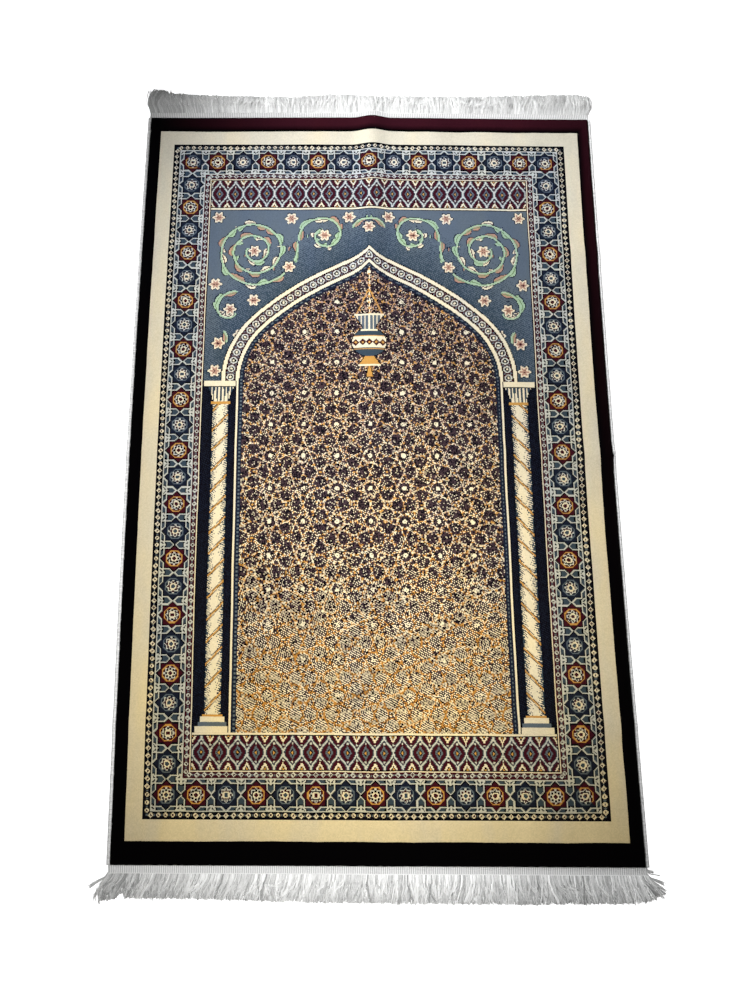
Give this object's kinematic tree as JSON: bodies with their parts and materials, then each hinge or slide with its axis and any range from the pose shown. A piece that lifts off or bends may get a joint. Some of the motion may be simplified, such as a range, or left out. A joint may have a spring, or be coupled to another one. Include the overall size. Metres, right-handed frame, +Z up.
{
  "type": "prayer rug",
  "caption": "Flat rectangular pile prayer rug with plain dark border, cream band and a pointed niche design, overcast sides and white fringed ends.",
  "frame": {"origin": "on the floor under the middle of the rug's pile", "axes": "+X across the width to the right, +Y along the length towards the end that the niche points at, +Z up"},
  "size_m": [0.7396, 1.1924, 0.013],
  "materials": {
    "pile": "short cut velvet pile, dark wine border, cream band, gold and slate-blue field",
    "side_yarn": "matte off-white overcast yarn",
    "fringe_yarn": "slightly glossy white twisted yarn"
  },
  "bodies": {
    "root": {"rug": "pile", "side_cord_left": "side_yarn", "side_cord_right": "side_yarn", "fringe_far": "fringe_yarn", "fringe_near": "fringe_yarn"}
  },
  "joints": []
}
